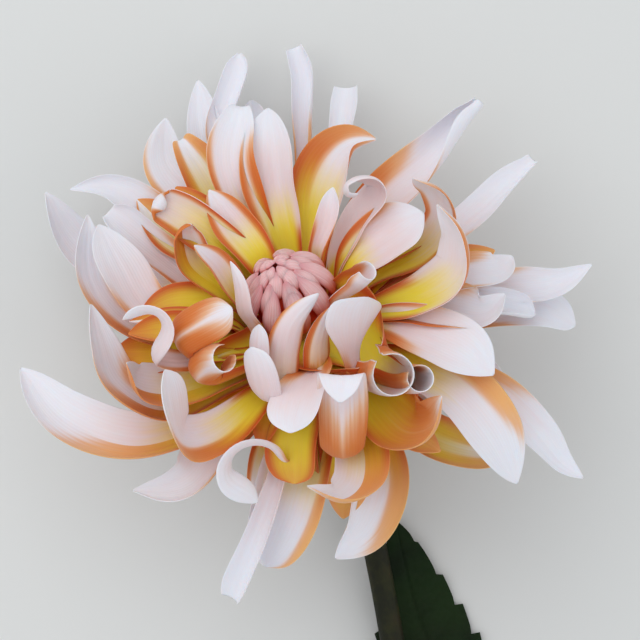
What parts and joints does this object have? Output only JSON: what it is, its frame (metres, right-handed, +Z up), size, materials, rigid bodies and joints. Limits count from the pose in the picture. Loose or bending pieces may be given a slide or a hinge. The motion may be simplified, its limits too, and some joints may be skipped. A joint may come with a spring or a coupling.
{
  "type": "dahlia flower",
  "caption": "Cut dahlia bloom with curled white and pink florets banded in orange, yellow at the base, with a pink closed middle, green calyx, stem and toothed leaf, lying down.",
  "frame": {"origin": "bottom centre of the bounding box of the flower as it lies", "axes": "+Z up from the surface it lies on; the stem runs towards -Y and the bloom is at +Y; the bloom's axis leans up and towards +Y"},
  "size_m": [0.1466, 0.2792, 0.0808],
  "materials": {
    "bloom": "satin petal",
    "bud": "satin petal",
    "calyx": "matt leafy green",
    "stem": "satin brownish green",
    "leaf": "satin dark green"
  },
  "bodies": {
    "root": {"bloom": "bloom", "bud": "bud", "calyx": "calyx", "stem": "stem", "leaf": "leaf"}
  },
  "joints": []
}
